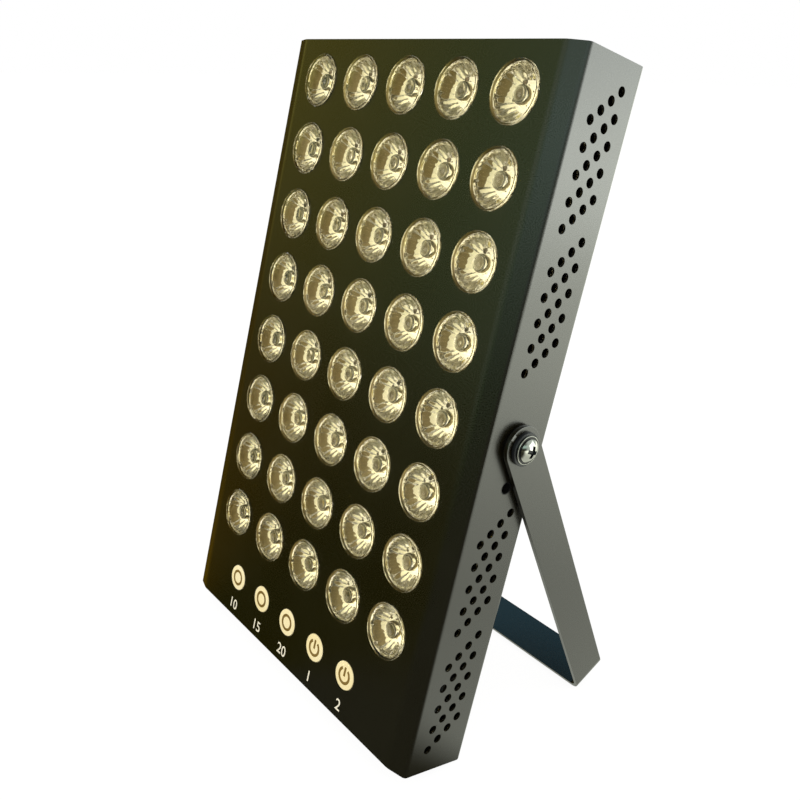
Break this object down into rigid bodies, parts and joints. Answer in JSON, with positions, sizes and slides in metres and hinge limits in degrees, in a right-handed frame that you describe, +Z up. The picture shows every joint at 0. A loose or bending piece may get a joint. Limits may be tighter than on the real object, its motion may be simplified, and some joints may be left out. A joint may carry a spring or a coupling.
{
  "type": "red light therapy panel",
  "caption": "Upright light therapy panel with a grid of round lenses, push buttons and vented sides, leaning on a folding U-shaped strap stand.",
  "frame": {"origin": "on the surface the panel stands on, at the middle of its footprint", "axes": "+X to the right of someone who faces the lenses, +Y from the lit face to the back, +Z up"},
  "size_m": [0.2076, 0.1324, 0.3057],
  "materials": {
    "black_paint": "satin",
    "black_screws": "satin",
    "steel_screws": "satin",
    "lens_plastic": "gloss",
    "emitter_package": "gloss",
    "board_aluminium": "satin",
    "pad_silicone": "matte",
    "heat_sink_aluminium": "satin",
    "standoff_brass": "satin",
    "inner_plastic": "matte",
    "circuit_board": "satin",
    "inlet_plastic": "satin",
    "pin_brass": "gloss",
    "driver_case": "satin",
    "washer_rubber": "matte",
    "pivot_chrome": "gloss",
    "fan_plastic": "satin",
    "button_plastic": "satin"
  },
  "bodies": {
    "panel": {"front_shell": "black_paint", "rear_cover": "black_paint", "rear_cover_screws": "black_screws", "driver_screws": "black_screws", "inlet_screws": "black_screws", "upper_fan_screws": "black_screws", "lower_fan_screws": "black_screws", "red_emitters": "emitter_package", "infrared_emitters": "emitter_package", "led_board": "board_aluminium", "thermal_pad": "pad_silicone", "heat_sink": "heat_sink_aluminium", "board_standoffs": "standoff_brass", "heat_sink_screws": "steel_screws", "control_board_screws": "steel_screws", "button_carrier": "inner_plastic", "control_board": "circuit_board", "tact_switches": "inner_plastic", "power_inlet": "inlet_plastic", "inlet_pins": "pin_brass", "led_driver": "driver_case", "pivot_inserts": "steel_screws", "accessory_inserts": "steel_screws", "pivot_spacers": "washer_rubber", "pivot_lock_washers": "washer_rubber", "pivot_flat_washers": "pivot_chrome", "pivot_screws": "pivot_chrome", "upper_fan_frame": "fan_plastic", "lower_fan_frame": "fan_plastic", "lens_row_1": "lens_plastic", "lens_row_2": "lens_plastic", "lens_row_3": "lens_plastic", "lens_row_4": "lens_plastic", "lens_row_5": "lens_plastic", "lens_row_6": "lens_plastic", "lens_row_7": "lens_plastic", "lens_row_8": "lens_plastic"},
    "stand": {"stand_strap": "black_paint"},
    "timer_button_10": {"timer_button_10": "button_plastic"},
    "timer_button_15": {"timer_button_15": "button_plastic"},
    "timer_button_20": {"timer_button_20": "button_plastic"},
    "red_light_button": {"red_light_button": "button_plastic"},
    "infrared_button": {"infrared_button": "button_plastic"},
    "upper_fan_rotor": {"upper_fan_rotor": "fan_plastic"},
    "lower_fan_rotor": {"lower_fan_rotor": "fan_plastic"}
  },
  "joints": [
    {"name": "stand_pivot", "type": "hinge", "parent": "panel", "child": "stand", "pos_m": [0, -0.00818, 0.15237], "axis": [1, 0, 0], "continuous": true},
    {"name": "timer_button_10_press", "type": "slide", "parent": "panel", "child": "timer_button_10", "axis": [0, 0.9675, -0.2528], "range_m": [0, 0.0006], "stiffness_N_per_m": 3000},
    {"name": "timer_button_15_press", "type": "slide", "parent": "panel", "child": "timer_button_15", "axis": [0, 0.9675, -0.2528], "range_m": [0, 0.0006], "stiffness_N_per_m": 3000},
    {"name": "timer_button_20_press", "type": "slide", "parent": "panel", "child": "timer_button_20", "axis": [0, 0.9675, -0.2528], "range_m": [0, 0.0006], "stiffness_N_per_m": 3000},
    {"name": "red_light_button_press", "type": "slide", "parent": "panel", "child": "red_light_button", "axis": [0, 0.9675, -0.2528], "range_m": [0, 0.0006], "stiffness_N_per_m": 3000},
    {"name": "infrared_button_press", "type": "slide", "parent": "panel", "child": "infrared_button", "axis": [0, 0.9675, -0.2528], "range_m": [0, 0.0006], "stiffness_N_per_m": 3000},
    {"name": "upper_fan_spin", "type": "hinge", "parent": "panel", "child": "upper_fan_rotor", "pos_m": [0, 0.02681, 0.221], "axis": [0, 0.9675, -0.2528], "continuous": true},
    {"name": "lower_fan_spin", "type": "hinge", "parent": "panel", "child": "lower_fan_rotor", "pos_m": [0, -0.00202, 0.11071], "axis": [0, 0.9675, -0.2528], "continuous": true}
  ]
}
